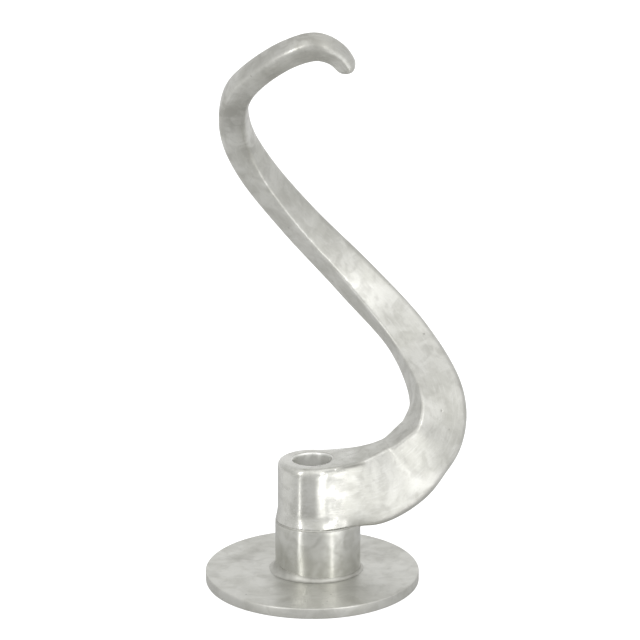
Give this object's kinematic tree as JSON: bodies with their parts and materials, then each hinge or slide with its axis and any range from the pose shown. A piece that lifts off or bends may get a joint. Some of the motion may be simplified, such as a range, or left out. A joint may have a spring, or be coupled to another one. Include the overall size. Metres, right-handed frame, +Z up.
{
  "type": "mixer dough hook",
  "caption": "Spiral dough hook for a 20-quart planetary stand mixer: tapering hand-polished aluminium arm on a bored hub with a round guard plate.",
  "frame": {"origin": "on the axis of the hub's bore, at the underside of the guard plate, on which the hook stands", "axes": "+Z up along the bore axis from the guard plate to the tip of the hook, +X along the root of the arm where it leaves the hub, +Y towards the back, where the arm rises"},
  "size_m": [0.137, 0.1257, 0.2927],
  "materials": {
    "cast_aluminium": "hand-polished casting, satin with blotchy polishing marks",
    "sleeve_aluminium": "turned and polished, satin",
    "plate_aluminium": "satin with a few casting pits",
    "weld_aluminium": "dressed and polished bead"
  },
  "bodies": {
    "root": {"hook_arm": "cast_aluminium", "hub_sleeve": "sleeve_aluminium", "guard_plate": "plate_aluminium", "plate_fillet_weld": "weld_aluminium", "boss_seam_weld": "weld_aluminium"}
  },
  "joints": []
}
